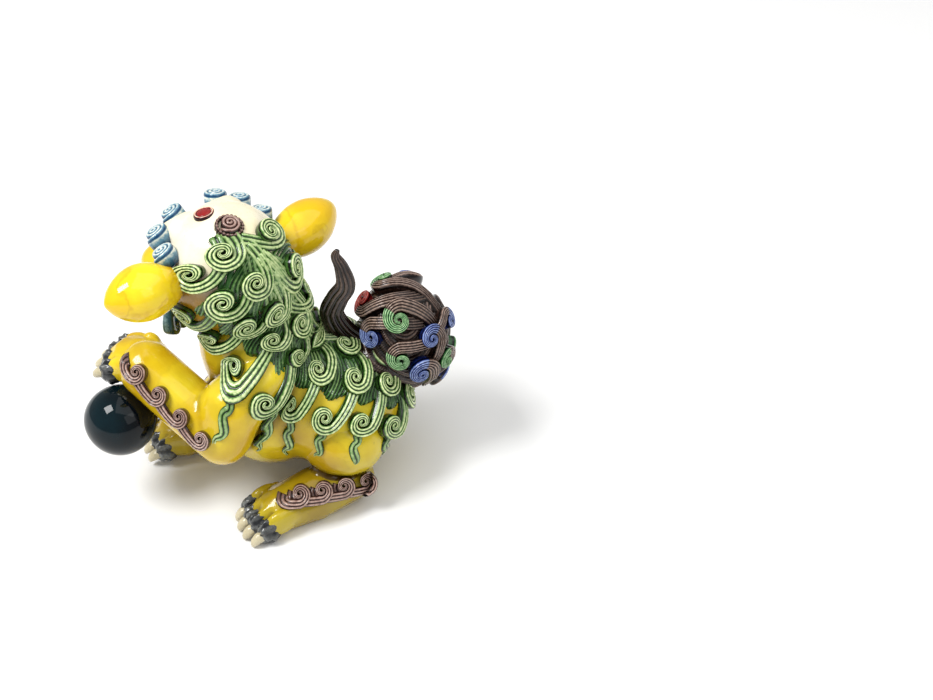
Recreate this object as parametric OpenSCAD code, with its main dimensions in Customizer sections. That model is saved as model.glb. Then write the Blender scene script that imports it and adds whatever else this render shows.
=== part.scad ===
// Hand-built glazed ceramic foo dog: a crouching guardian lion that looks back over its
// shoulder, with one forepaw raised on a ball. Millimetres, +Z up, the face end at -Y,
// +X is the dog's own left. The origin is on the floor, under the middle of the plan outline.

/* [Body] */
// Half width of the barrel of the body
barrel_half_w = 39; // [37:0.5:41]
// Half length of the barrel along the spine
barrel_half_len = 50; // [48:0.5:52]
// Half height of the barrel
barrel_half_h = 35; // [33:0.5:36]
// Chest-up lean of the barrel, in degrees
barrel_lean = 20; // [17:1:23]
// Thickness of the ceramic wall
wall = 6; // [5:0.5:8]
// Radius of the firing vent in the belly
vent_r = 7; // [5:0.5:9]

/* [Head] */
// Half width of the dome of the head
dome_half_w = 30; // [29:0.5:31]
// Half height of the dome of the head
dome_half_h = 34; // [33:0.5:35]
// Turn of the head to the dog's right, in degrees
head_turn = 43; // [38:1:48]
// Sideways tilt of the head, in degrees
head_tilt = 6; // [3:1:9]
// Length of an ear from its root to its tip
ear_len = 40; // [37:1:43]
// Largest radius of an ear
ear_r = 14; // [13:0.5:15]
// Radius of the nose
nose_r = 9; // [8:0.5:10]

/* [Curls] */
// Radius of a brow curl
brow_r = 7.5; // [6.5:0.5:8]
// Radius of the rosette on the crown
crown_r = 7; // [6:0.5:8]
// Radius of the rosette on the forehead
forehead_r = 5; // [4:0.5:6]
// Radius of the spiral end of a mane lock
lock_r = 6.5; // [6:0.5:7]
// Height of a mane lock above the skin
lock_h = 6; // [5:0.5:7]
// Radius of the spiral end of a leg curl
leg_curl_r = 5.5; // [4.5:0.5:6]

/* [Limbs] */
// Radius of the forearm
arm_r = 14.5; // [13:0.5:15]
// Radius of the ball under the raised paw
ball_r = 18.5; // [18:0.5:20]
// Length of a claw
claw_len = 11; // [9:0.5:12]

/* [Tail] */
// Half height of the bushy part of the tail
tail_half_h = 29; // [27:0.5:31]
// Radius of the bushy part of the tail
tail_r = 22; // [20:0.5:24]

/* [Hidden] */

// Middle of the plan outline in the modelling frame, which has the body's mid-plane near x = -10
mid_x = -10;
plan_middle = [mid_x, -13.4, 0];
// Farther than the statue reaches in any direction
beyond = 200;
barrel_c = [mid_x, 8, 50];
barrel_half = [barrel_half_w, barrel_half_len, barrel_half_h];
chest_c = [mid_x, -15, 49];
chest_half = [barrel_half_w + 1, 34, 36];
neck_c = [mid_x - 1, -22, 88];
neck_half = [30, 28, 40];
neck_lean = 8;
left_shoulder = [18, -14, 84];
left_upper_arm = [27, -29, 73];
left_elbow = [32, -35, 57];
left_wrist = [5, -75, 79];
left_palm = [-1.5, -79.5, 78];
left_paw_turn = [-5, 0, -14];
right_shoulder = [-40, -12, 84];
right_upper_arm = [-45, -20, 66];
right_elbow = [-48, -26, 46];
right_wrist = [-30, -56, 18];
right_palm = [-20, -68, 11];
right_paw_turn = [0, 0, 14];
shoulder_r = 13;
upper_arm_r = 16;
palm_half = [15, 17, 12];
ball_c = [17.5, -89.5, 55];
left_heel = [16, 27, 12];
left_toes = [38, -12, 9];
foot_half_w = 14;
thigh_half = [21, 24, 21];
thigh_rise = 26;
toe_pitch = 7;
toe_half = [3.6, 6.5, 7];
toe_drop = -3;
toe_reach = 14;
hind_toe_reach = 11;
claws = 4;
claw_r = 2.6;
leg_curls = 4;
leg_curl_h = 5;
// How far before its scroll a curl starts, as a share of the distance to the next one
leg_curl_lead = 0.32;

// Points of the head are in its own frame: +X its left, -Y its face, +Z its crown
head_c = [mid_x - 3, -30, 129];
dome_half = [dome_half_w, dome_half_w + 3, dome_half_h];
brow_ridge_c = [13, -18, 17];
brow_ridge_half = [11, 11, 10];
muzzle_c = [0, -28, -7];
muzzle_half = [20, 19, 12];
lip_c = [11, -37, -8];
lip_half = [11, 11, 9];
jaw_c = [0, -20, -31];
jaw_half = [18, 20, 10];
tongue_c = [0, -30, -19];
tongue_half = [9, 14, 3.5];
nose_p = [0, -43, 0];
eye_p = [13, -25, 6];
eye_r = 7;
teeth = 8;
teeth_arc = 150;
teeth_arc_y = -27;
teeth_arc_half = [15, 16];
tooth_r = 2.3;
tooth_len = 5;
fang_len = 8;
upper_gum = -15;
lower_gum = -31;
ear_rise = 4;
ear_roll = 6;
ear_tip_r = 2;
// The hand-built ears differ: the right one is longer than the mean by this, the left shorter
ear_uneven = 3;
ear_roots = [[31, -3, 3], [-31, 0, 1]];
crown_p = [7, 10, 30.5];
crown_n = [0.1, 0.35, 1];
crown_h = 5;
forehead_p = [9, -6, 31];
forehead_n = [0.2, -0.15, 1];
forehead_h = 3;
brow_spots = [[12, -24, 21], [24, -20, 16], [29, -9, 12]];
brow_n = [0.45, -0.45, 1];
brow_h = 7;
beard_locks = 5;
beard_pitch = 8;
beard_r = 4;
beard_root = [-28, -40];
beard_tip = [-32, -49];

// The mane is laid out by a station along the spine, 0 at the neck and 1 at the rump,
// and by an angle round the spine from the top of the back
spine_from = [mid_x - 2, -40, 108];
spine_to = [mid_x, 30, 40];
spine_len = norm(spine_to - spine_from);
lock_reach = 9;
// How far up the flank from its scroll a lock of each row starts
lock_drop = [13, 9, 9];
// For the upper, middle and lower row: where it starts and ends along the spine, its locks,
// its angle on the left flank, and where and how fast it climbs the back towards the rump
row_from_left = [-0.22, -0.24, -0.12];
row_from_right = [-0.1, 0.16, 0.28];
row_to = [0.84, 1.08, 1.06];
row_locks_left = [7, 9, 8];
row_locks_right = [6, 6, 5];
row_angle = [33, 51, 90];
row_turn = [0.15, 0.62, 0.58];
row_climb = [48, 95, 78];
// How much of the parting's lean each row of the right flank follows
row_lean = [1, 0.7, 0.5];
tendril_stations = [0.33, 0.45, 0.58, 0.72, 0.86, 1];
tendril_r = 2;
// Each of its steps takes a strand down the flank by this angle and back by this station
tendril_fall = 12;
tendril_drift = 0.035;

tail_c = [mid_x - 16, 54, 75];
tail_root_links = [[mid_x - 2, 36, 66, 13], concat(tail_c - [-6, 12, 6], [14])];
flame_links = [[-17, 36, 78, 7], [-16, 25, 87, 7.5], [-15, 20, 103, 7], [-15, 27, 116, 6],
    [-16, 26, 129, 4], [-16, 24, 138, 1.5]];
plume_count = 8;
plume_turn = 24;
plume_r = 4.5;
plume_out = 1.5;
tail_curl_r = 6;
tail_curl_h = 7;
// Directions that the scrolls of the tail face
red_spots = [[-0.15, -0.65, 0.75]];
blue_spots = [[0.7, -0.5, 0.5], [0.6, 0.65, 0.5], [0.9, 0.4, -0.1], [0.15, 0.85, 0.45],
    [-0.7, 0.1, 0.7], [0, 0.75, -0.65]];
green_spots = [[-0.45, -0.3, 0.85], [0.5, 0, 0.85], [0.95, 0, 0.25], [0.5, 0.85, 0],
    [-0.9, -0.2, 0.3], [-0.7, 0.7, 0]];

blob_fn = 20;
small_fn = 12;
disc_fn = 8;
strand_fn = 6;
ball_fn = 40;
rosette_fn = 24;

// ---- Vectors and curves ----
function unit(v) = v / norm(v);
function mid(a, b, t) = a + (b - a) * t;
// The same point on the left (1) or the right (-1) side of the body, and of the head
function on_side(side, p) = side > 0 ? p : [2 * mid_x - p[0], p[1], p[2]];
function on_face(side, p) = [side * p[0], p[1], p[2]];

// Everything inside is one fired lump, so it is meshed as one
module lump() {
    resize([0, 0, 0]) children();
}

// An ellipsoid with its centre at c, turned by r
module blob(c, half, r = [0, 0, 0], fn = blob_fn) {
    translate(c) rotate(r) scale(half) sphere(1, $fn = fn);
}

// Places its children in a frame with +Z along n and +X towards x
module facing(p, n, x) {
    z = unit(n);
    y = unit(cross(z, x));
    w = cross(y, z);
    multmatrix([
        [w[0], y[0], z[0], p[0]],
        [w[1], y[1], z[1], p[1]],
        [w[2], y[2], z[2], p[2]],
        [0, 0, 0, 1]
    ]) children();
}

// Moves the modelling frame onto the origin of the part
module placed() {
    translate(-plan_middle) children();
}

// ---- Main masses, as plain solids that the other pieces are cut to ----
module body_mass(inset = 0) {
    thin = [inset, inset, inset];
    blob(barrel_c, barrel_half - thin, [-barrel_lean, 0, 0]);
    blob(chest_c, chest_half - thin);
    blob(neck_c, neck_half - thin, [-neck_lean, 0, 0]);
}

module on_head() {
    translate(head_c) rotate([0, 0, -head_turn]) rotate([0, -head_tilt, 0]) children();
}

module dome_mass(inset = 0) {
    on_head() blob([0, 0, 0], dome_half - [inset, inset, inset]);
}

module head_mass() {
    dome_mass();
    on_head() for (side = [-1, 1])
        blob(on_face(side, brow_ridge_c), brow_ridge_half, [0, 0, 0], small_fn);
}

module muzzle_mass() {
    on_head() {
        blob(muzzle_c, muzzle_half, [12, 0, 0], small_fn);
        for (side = [-1, 1]) blob(on_face(side, lip_c), lip_half, [0, 0, 0], small_fn);
    }
}

module jaw_mass() {
    on_head() blob(jaw_c, jaw_half, [-10, 0, 0], small_fn);
}

// A chain of round links through points [x, y, z, radius]
module chain(p, fn = small_fn) {
    for (i = [0 : len(p) - 2]) hull() for (q = [p[i], p[i + 1]])
        translate([q[0], q[1], q[2]]) sphere(q[3], $fn = fn);
}

module left_arm_mass() {
    chain([
        concat(left_shoulder, [shoulder_r]),
        concat(left_upper_arm, [upper_arm_r]),
        concat(left_elbow, [arm_r]),
        concat(left_wrist, [arm_r])
    ]);
}

module right_arm_mass() {
    chain([
        concat(right_shoulder, [shoulder_r]),
        concat(right_upper_arm, [upper_arm_r]),
        concat(right_elbow, [arm_r - 1]),
        concat(right_wrist, [arm_r - 3])
    ]);
}

module thigh_mass(side) {
    heel = on_side(side, left_heel);
    blob(heel + [-side * 4, -5, thigh_rise], thigh_half, [-15, 0, -side * 12], small_fn);
}

// Keeps what stands above the floor
module above_floor() {
    intersection() {
        children();
        translate([-beyond, -beyond, 0]) cube(2 * beyond);
    }
}

// The flat-soled hind foot, from heel to toes
module hind_foot_mass(side) {
    heel = on_side(side, left_heel);
    toes = on_side(side, left_toes);
    above_floor() chain([
        concat(heel, [foot_half_w - 2]),
        concat(mid(heel, toes, 0.5), [foot_half_w]),
        concat(mid(heel, toes, 0.95), [foot_half_w - 2])
    ]);
}

// A palm with its centre at p, turned by r
module palm_mass(p, r) {
    above_floor() blob(p, palm_half, r, small_fn);
}

module left_palm_mass() {
    palm_mass(left_palm, left_paw_turn);
}

module right_palm_mass() {
    palm_mass(right_palm, right_paw_turn);
}

// Children are laid out with the toes pointing to -Y
module on_left_paw() {
    translate(left_palm) rotate(left_paw_turn) children();
}

module on_right_paw() {
    translate(right_palm) rotate(right_paw_turn) children();
}

module on_hind_foot(side) {
    heel = on_side(side, left_heel);
    toes = on_side(side, left_toes);
    way = toes - heel;
    translate(toes) rotate([0, 0, atan2(way[1], way[0]) + 90]) children();
}

// Middles of the toes of a paw: the inner ones stand a little ahead of the outer ones
function toe_spots(reach) = [
    for (i = [0 : claws - 1])
        let (x = (i - (claws - 1) / 2) * toe_pitch) [x, abs(x) / 4 - reach, toe_drop]
];

// Tufts of fur, one on each toe
module toes_mass(reach) {
    for (p = toe_spots(reach)) blob(p, toe_half, [0, 0, 0], disc_fn);
}

// Curved claws, one on each toe
module claws_mass(reach) {
    for (p = toe_spots(reach)) chain([
        concat(p + [0, -4, 1], [claw_r]),
        concat(p + [0, -claw_len * 0.75, -2], [claw_r * 0.8]),
        concat(p + [0, -claw_len, -5], [claw_r * 0.35])
    ], strand_fn);
}

module ball_mass() {
    translate(ball_c) sphere(ball_r, $fn = ball_fn);
}

// ---- The skin under the mane ----
// A vector in the frame of an ellipsoid that leans by an angle
function into(v, lean) = [
    v[0],
    v[1] * cos(lean) - v[2] * sin(lean),
    v[1] * sin(lean) + v[2] * cos(lean)
];
function over(v, h) = [v[0] / h[0], v[1] / h[1], v[2] / h[2]];

// How far a ray from o along d runs before it leaves a leaning ellipsoid, or 0 if it misses it
function exit_dist(o, d, c, half, lean) =
    let (p = over(into(o - c, lean), half),
        q = over(into(d, lean), half),
        room = (p * q) * (p * q) - (q * q) * (p * p - 1))
    room < 0 ? 0 : (sqrt(room) - p * q) / (q * q);

// The point where a ray leaves the body or the head
function skin(o, d) = o + d * max(
    exit_dist(o, d, barrel_c, barrel_half, barrel_lean),
    exit_dist(o, d, chest_c, chest_half, 0),
    exit_dist(o, d, neck_c, neck_half, neck_lean),
    exit_dist(o, d, head_c, dome_half, 0)
);

spine_way = unit(spine_to - spine_from);
spine_up = unit(cross([1, 0, 0], spine_way));

// Direction away from the spine, at an angle from the top of the back towards the left flank
function away(angle) = spine_up * cos(angle) + [1, 0, 0] * sin(angle);
function station(t) = mid(spine_from, spine_to, t);

// The parting of the mane: on the left of the turned head, past the middle of the rump
function parting(t) = 22 - 65 * min(max(t - 0.08, 0), 0.6);
function left_angle(row, t) = row_angle[row] - row_climb[row] * max(t - row_turn[row], 0);
function lock_angle(side, row, t) =
    side > 0 ? left_angle(row, t) : 2 * row_lean[row] * parting(t) - left_angle(row, t);
function lock_stations(side, row) =
    let (from = side > 0 ? row_from_left[row] : row_from_right[row],
        last = (side > 0 ? row_locks_left[row] : row_locks_right[row]) - 1)
    [for (i = [0 : last]) mid(from, row_to[row], i / last)];

// A band that widens from q into a round scroll at p, on a surface that faces n
module scroll(p, q, n, way, r, h) {
    hull() {
        facing(p - n, n, way) cylinder(h = h + 1, r = r, $fn = disc_fn);
        facing(q - n, n, way) cylinder(h = h, r = r * 0.4, $fn = disc_fn);
    }
}

// One lock: it runs down from the parting and ends in a scroll
module lock(t, angle, side, drop) {
    d = away(angle);
    p = skin(station(t), d);
    turn = drop / norm(p - station(t)) * 180 / PI;
    q = skin(station(t - lock_reach / spine_len), away(angle - side * turn));
    scroll(p, q, d, spine_way, lock_r, lock_h);
}

module lock_row_mass(side, row) {
    for (t = lock_stations(side, row)) lock(t, lock_angle(side, row, t), side, lock_drop[row]);
}

// What the mane is seated on
module mane_bed() {
    body_mass();
    head_mass();
    left_arm_mass();
    right_arm_mass();
    ear_mass(1);
    ear_mass(-1);
    crown_mass();
    thigh_mass(1);
    thigh_mass(-1);
    tail_core_mass();
    tail_root_mass();
}

module mane_row(side, row) {
    color(["yellowgreen", "olivedrab", "forestgreen"][row]) placed() lump() difference() {
        lock_row_mass(side, row);
        mane_bed();
        if (row > 0) lock_row_mass(side, row - 1);
        if (row > 1) lock_row_mass(side, row - 2);
        if (side < 0) for (other = [0 : 2]) lock_row_mass(1, other);
        tail_flame_mass();
    }
}

// Strands that run down the flank from under the lowest locks
module tendrils(side) {
    color("green") placed() lump() difference() {
        for (t = tendril_stations) {
            a = lock_angle(side, 2, t) + side * 20;
            chain([for (k = [0 : 2])
                concat(skin(station(t + tendril_drift * k), away(a + side * k * tendril_fall)),
                    [tendril_r])], strand_fn);
        }
        mane_bed();
        lock_row_mass(side, 2);
        lock_row_mass(side, 1);
        hind_foot_mass(side);
    }
}

// ---- Tail ----
module tail_core_mass() {
    blob(tail_c, [tail_r, tail_r, tail_half_h], [0, 0, 0], 24);
}

module tail_root_mass() {
    chain(tail_root_links);
}

// The upright lock at the front of the tail, bent like a flame
module tail_flame_mass() {
    chain(flame_links, disc_fn);
}

// Strands that sweep up over the tail from its root
module tail_plume_mass() {
    for (i = [0 : plume_count - 1])
        let (turn = 360 * i / plume_count + plume_turn)
            chain([for (rise = [-50, -5, 40])
                concat(tail_c + [
                    (tail_r + plume_out) * cos(rise) * cos(turn),
                    (tail_r + plume_out) * cos(rise) * sin(turn),
                    (tail_half_h + plume_out) * sin(rise)
                ], [plume_r])], strand_fn);
}

module tail_spiral_mass(spots) {
    for (n = spots) {
        d = unit(n);
        p = tail_c + [d[0] * tail_r, d[1] * tail_r, d[2] * tail_half_h];
        facing(p - d, d, [0.1, 0.2, 1]) cylinder(h = tail_curl_h, r = tail_curl_r, $fn = disc_fn);
    }
}

module tail_core() {
    color("saddlebrown") placed() lump() difference() {
        union() {
            tail_core_mass();
            tail_root_mass();
        }
        body_mass();
    }
}

module tail_flame() {
    color("sienna") placed() lump() difference() {
        tail_flame_mass();
        body_mass();
        tail_core_mass();
        tail_root_mass();
    }
}

module tail_plumes() {
    color("saddlebrown") placed() lump() difference() {
        tail_plume_mass();
        body_mass();
        tail_core_mass();
        tail_root_mass();
        tail_flame_mass();
        tail_spiral_mass(concat(red_spots, blue_spots, green_spots));
    }
}

module tail_spirals(spots) {
    placed() lump() difference() {
        tail_spiral_mass(spots);
        body_mass();
        tail_core_mass();
        tail_root_mass();
        tail_flame_mass();
    }
}

module tail_spirals_red() {
    color("firebrick") tail_spirals(red_spots);
}

module tail_spirals_blue() {
    color("royalblue") tail_spirals(blue_spots);
}

module tail_spirals_green() {
    color("seagreen") tail_spirals(green_spots);
}

// ---- Body ----
module torso_shell() {
    color("goldenrod") placed() lump() difference() {
        body_mass();
        head_mass();
        body_mass(wall);
        translate([barrel_c[0], barrel_c[1], 0]) cylinder(h = barrel_c[2], r = vent_r, $fn = 24);
        for (side = [-1, 1]) {
            thigh_mass(side);
            hind_foot_mass(side);
        }
        left_arm_mass();
        right_arm_mass();
        jaw_mass();
    }
}

module head_shell() {
    color("cornsilk") placed() lump() difference() {
        head_mass();
        dome_mass(wall);
        body_mass(wall);
        muzzle_mass();
        jaw_mass();
    }
}

module muzzle() {
    color("khaki") placed() lump() difference() {
        muzzle_mass();
        jaw_mass();
        dome_mass(wall);
        nose_mass();
    }
}

module lower_jaw() {
    color("khaki") placed() lump() difference() {
        jaw_mass();
        dome_mass(wall);
        body_mass(wall);
    }
}

// Tongue lying in the open mouth
module tongue_mass() {
    on_head() blob(tongue_c, tongue_half, [-6, 0, 0], small_fn);
}

module tongue() {
    color("indianred") placed() lump() difference() {
        tongue_mass();
        jaw_mass();
        muzzle_mass();
        head_mass();
        body_mass();
    }
}

// Teeth in an arc, rooted in a gum, with a fang next to each end
module teeth_mass(gum) {
    on_head() for (i = [0 : teeth - 1])
        let (turn = teeth_arc * (i / (teeth - 1) - 0.5),
            len = i == 1 || i == teeth - 2 ? fang_len : tooth_len)
            translate([
                teeth_arc_half[0] * sin(turn),
                teeth_arc_y - teeth_arc_half[1] * cos(turn),
                gum
            ])
                mirror([0, 0, gum == upper_gum ? 1 : 0])
                    cylinder(h = len, r1 = tooth_r, r2 = tooth_r * 0.4, $fn = disc_fn);
}

module upper_teeth_mass() {
    teeth_mass(upper_gum);
}

module lower_teeth_mass() {
    teeth_mass(lower_gum);
}

module upper_teeth() {
    color("ivory") placed() lump() difference() {
        upper_teeth_mass();
        muzzle_mass();
        jaw_mass();
        head_mass();
        tongue_mass();
    }
}

module lower_teeth() {
    color("ivory") placed() lump() difference() {
        lower_teeth_mass();
        upper_teeth_mass();
        muzzle_mass();
        jaw_mass();
        head_mass();
        tongue_mass();
    }
}

module nose_mass() {
    on_head() translate(nose_p) sphere(nose_r, $fn = blob_fn);
}

module nose() {
    color("crimson") placed() lump() difference() {
        nose_mass();
        head_mass();
    }
}

module eye_mass(side) {
    on_head() translate(on_face(side, eye_p)) sphere(eye_r, $fn = blob_fn);
}

module eye(side) {
    color("white") placed() lump() difference() {
        eye_mass(side);
        head_mass();
        muzzle_mass();
        nose_mass();
        for (i = [0 : 2]) brow_mass(side, i);
    }
}

module left_eye() {
    eye(1);
}

module right_eye() {
    eye(-1);
}

// Radius of a lemon-shaped ear at the fraction t of its length
function ear_radius(t) =
    ear_tip_r + (ear_r - ear_tip_r) * pow(sin(180 * pow(0.2 + 0.8 * t, 1.25)), 0.75);

module ear_mass(side) {
    length = ear_len - side * ear_uneven;
    on_head() translate(ear_roots[side > 0 ? 0 : 1])
        rotate([ear_roll, side * (90 - ear_rise), 0])
            rotate_extrude($fn = 16) polygon(concat(
                [[0, 0]],
                [for (t = [0 : 0.1 : 1]) [ear_radius(t), length * t]],
                [[0, length + 1.5]]
            ));
}

module ear(side) {
    color("gold") placed() lump() difference() {
        ear_mass(side);
        head_mass();
        for (i = [0 : 2]) brow_mass(side, i);
    }
}

module left_ear() {
    ear(1);
}

module right_ear() {
    ear(-1);
}

// ---- Curls on the head ----
module brow_mass(side, i) {
    on_head() facing(on_face(side, brow_spots[i]), on_face(side, brow_n), [1, 0, 0])
        cylinder(h = brow_h, r = brow_r, $fn = 16);
}

module brow_curl(side, i) {
    color("steelblue") placed() lump() difference() {
        brow_mass(side, i);
        head_mass();
        if (i > 0) brow_mass(side, i - 1);
    }
}

module brow_curl_left_1() {
    brow_curl(1, 0);
}

module brow_curl_left_2() {
    brow_curl(1, 1);
}

module brow_curl_left_3() {
    brow_curl(1, 2);
}

module brow_curl_right_1() {
    brow_curl(-1, 0);
}

module brow_curl_right_2() {
    brow_curl(-1, 1);
}

module brow_curl_right_3() {
    brow_curl(-1, 2);
}

module crown_mass() {
    on_head() facing(crown_p, crown_n, [1, 0, 0])
        cylinder(h = crown_h, r = crown_r, $fn = rosette_fn);
}

module crown_rosette() {
    color("rosybrown") placed() lump() difference() {
        crown_mass();
        head_mass();
    }
}

module forehead_rosette() {
    color("firebrick") placed() lump() difference() {
        on_head() facing(forehead_p, forehead_n, [1, 0, 0])
            cylinder(h = forehead_h, r = forehead_r, $fn = rosette_fn);
        head_mass();
    }
}

module mane_left_upper() {
    mane_row(1, 0);
}

module mane_left_middle() {
    mane_row(1, 1);
}

module mane_left_lower() {
    mane_row(1, 2);
}

module mane_right_upper() {
    mane_row(-1, 0);
}

module mane_right_middle() {
    mane_row(-1, 1);
}

module mane_right_lower() {
    mane_row(-1, 2);
}

module tendrils_left() {
    tendrils(1);
}

module tendrils_right() {
    tendrils(-1);
}

// A row of curls that hangs under the chin
module beard_curls() {
    color("whitesmoke") placed() lump() difference() {
        on_head() for (i = [0 : beard_locks - 1])
            let (x = beard_pitch * (i - (beard_locks - 1) / 2))
                chain([
                    [x, beard_root[0] + abs(x) * 0.5, beard_root[1], beard_r],
                    [x * 1.1, beard_tip[0] + abs(x) * 0.5, beard_tip[1] + abs(x) * 0.3, beard_r]
                ], strand_fn);
        jaw_mass();
        body_mass();
        left_palm_mass();
        on_left_paw() toes_mass(toe_reach - 1);
    }
}

// ---- Forelegs ----
module left_arm() {
    color("goldenrod") placed() lump() difference() {
        left_arm_mass();
        left_palm_mass();
        head_mass();
        hind_foot_mass(1);
        thigh_mass(1);
    }
}

module right_arm() {
    color("goldenrod") placed() lump() difference() {
        right_arm_mass();
        right_palm_mass();
        head_mass();
        hind_foot_mass(-1);
        thigh_mass(-1);
    }
}

module left_forepaw() {
    color("goldenrod") placed() lump() difference() {
        left_palm_mass();
        ball_mass();
    }
}

module right_forepaw() {
    color("goldenrod") placed() lump() difference() {
        right_palm_mass();
        ball_mass();
        body_mass();
    }
}

module left_forepaw_fur() {
    color("dimgray") placed() lump() difference() {
        on_left_paw() toes_mass(toe_reach);
        left_palm_mass();
        ball_mass();
    }
}

module right_forepaw_fur() {
    color("dimgray") placed() lump() difference() {
        above_floor() on_right_paw() toes_mass(toe_reach);
        right_palm_mass();
        ball_mass();
    }
}

module left_forepaw_claws() {
    color("wheat") placed() lump() difference() {
        on_left_paw() claws_mass(toe_reach);
        on_left_paw() toes_mass(toe_reach);
        left_palm_mass();
        ball_mass();
    }
}

module right_forepaw_claws() {
    color("wheat") placed() lump() difference() {
        above_floor() on_right_paw() claws_mass(toe_reach);
        on_right_paw() toes_mass(toe_reach);
        right_palm_mass();
        ball_mass();
    }
}

module ball() {
    color("midnightblue") placed() ball_mass();
}

// A row of scrolls along the outer edge of a limb, on a surface that faces out
module edge_curls_mass(from, to, out) {
    step = (to - from) / (leg_curls - 1);
    for (i = [0 : leg_curls - 1])
        scroll(from + i * step, from + (i - leg_curl_lead) * step, unit(out), unit(step),
            leg_curl_r, leg_curl_h);
}

module left_arm_curls() {
    color("rosybrown") placed() lump() difference() {
        edge_curls_mass(left_wrist + [13, -1, 9], left_elbow + [8, -8, 9], [0.75, -0.1, 0.5]);
        left_arm_mass();
        left_palm_mass();
    }
}

module right_arm_curls() {
    color("rosybrown") placed() lump() difference() {
        edge_curls_mass(right_wrist + [-10, 0, 3], right_elbow + [-11, -3, 4], [-0.9, -0.1, 0.4]);
        right_arm_mass();
        right_palm_mass();
        hind_foot_mass(-1);
    }
}

// ---- Hind legs ----
module thigh(side) {
    color("goldenrod") placed() lump() difference() {
        thigh_mass(side);
        hind_foot_mass(side);
        body_mass(wall);
    }
}

module left_thigh() {
    thigh(1);
}

module right_thigh() {
    thigh(-1);
}

module hind_foot(side) {
    color("goldenrod") placed() lump() hind_foot_mass(side);
}

module left_hind_foot() {
    hind_foot(1);
}

module right_hind_foot() {
    hind_foot(-1);
}

module hind_fur(side) {
    color("dimgray") placed() lump() difference() {
        above_floor() on_hind_foot(side) toes_mass(hind_toe_reach);
        hind_foot_mass(side);
    }
}

module left_hind_fur() {
    hind_fur(1);
}

module right_hind_fur() {
    hind_fur(-1);
}

module hind_claws(side) {
    color("wheat") placed() lump() difference() {
        above_floor() on_hind_foot(side) claws_mass(hind_toe_reach);
        on_hind_foot(side) toes_mass(hind_toe_reach);
        hind_foot_mass(side);
    }
}

module left_hind_claws() {
    hind_claws(1);
}

module right_hind_claws() {
    hind_claws(-1);
}

module hind_curls(side) {
    color("rosybrown") placed() lump() difference() {
        edge_curls_mass(on_side(side, left_toes) + [-side * 3, 13, 12],
            on_side(side, left_heel) + [side * 8, 8, 6], [side * 0.8, 0.1, 0.6]);
        hind_foot_mass(side);
        thigh_mass(side);
        body_mass();
        if (side < 0) right_arm_mass();
    }
}

module left_hind_curls() {
    hind_curls(1);
}

module right_hind_curls() {
    hind_curls(-1);
}

torso_shell();
head_shell();
muzzle();
lower_jaw();
tongue();
upper_teeth();
lower_teeth();
nose();
left_eye();
right_eye();
left_ear();
right_ear();
brow_curl_left_1();
brow_curl_left_2();
brow_curl_left_3();
brow_curl_right_1();
brow_curl_right_2();
brow_curl_right_3();
crown_rosette();
forehead_rosette();
mane_left_upper();
mane_left_middle();
mane_left_lower();
mane_right_upper();
mane_right_middle();
mane_right_lower();
tendrils_left();
tendrils_right();
beard_curls();
left_arm();
right_arm();
left_forepaw();
right_forepaw();
left_forepaw_fur();
right_forepaw_fur();
left_forepaw_claws();
right_forepaw_claws();
left_arm_curls();
right_arm_curls();
left_thigh();
right_thigh();
left_hind_foot();
right_hind_foot();
left_hind_fur();
right_hind_fur();
left_hind_claws();
right_hind_claws();
left_hind_curls();
right_hind_curls();
ball();
tail_core();
tail_flame();
tail_plumes();
tail_spirals_red();
tail_spirals_blue();
tail_spirals_green();
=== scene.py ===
"""The looks of a hand-built, glazed ceramic foo dog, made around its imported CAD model.

Metres, +Z up, the same frame as the CAD. The big masses are smoothed copies of the CAD solids.
Curls and locks are ribbed bands that are wrapped on a skin and rolled up into scrolls. Under
them lie sheets of combed strands.
"""
import math
import random
from types import SimpleNamespace

import bmesh
import bpy
import numpy as np
from mathutils import Matrix, Vector, noise
from mathutils.bvhtree import BVHTree


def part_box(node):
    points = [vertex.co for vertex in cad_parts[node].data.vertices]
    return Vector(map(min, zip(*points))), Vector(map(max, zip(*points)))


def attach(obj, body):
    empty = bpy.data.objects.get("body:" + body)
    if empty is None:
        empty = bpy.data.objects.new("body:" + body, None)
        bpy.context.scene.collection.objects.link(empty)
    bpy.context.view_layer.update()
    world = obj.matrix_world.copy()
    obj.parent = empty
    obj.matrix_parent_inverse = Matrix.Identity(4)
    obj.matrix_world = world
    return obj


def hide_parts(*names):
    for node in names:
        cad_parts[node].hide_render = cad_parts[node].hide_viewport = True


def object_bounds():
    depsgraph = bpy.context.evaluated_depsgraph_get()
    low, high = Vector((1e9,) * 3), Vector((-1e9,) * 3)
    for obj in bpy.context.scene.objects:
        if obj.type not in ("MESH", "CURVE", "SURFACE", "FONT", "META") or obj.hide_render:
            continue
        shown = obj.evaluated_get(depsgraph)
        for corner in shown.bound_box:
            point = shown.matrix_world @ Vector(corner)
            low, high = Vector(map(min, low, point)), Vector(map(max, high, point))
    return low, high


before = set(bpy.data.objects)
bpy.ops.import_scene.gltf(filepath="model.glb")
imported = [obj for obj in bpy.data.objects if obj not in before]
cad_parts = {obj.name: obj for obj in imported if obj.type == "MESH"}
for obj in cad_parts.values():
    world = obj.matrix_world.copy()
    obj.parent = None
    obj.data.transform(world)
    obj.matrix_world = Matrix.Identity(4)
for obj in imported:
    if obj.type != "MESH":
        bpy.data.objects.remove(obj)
cad_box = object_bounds()
scene = bpy.context.scene
rng = random.Random(7)

MM = 0.001
BODY = "root"
SIDES = ((1, "left"), (-1, "right"))


# ---- Measures ----
def mm(*values):
    """Lengths in millimetres, as metres."""
    return tuple(value * MM for value in values)


def circle(count):
    """Angles that go once round."""
    return np.linspace(0, 2 * math.pi, count, endpoint=False)


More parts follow.
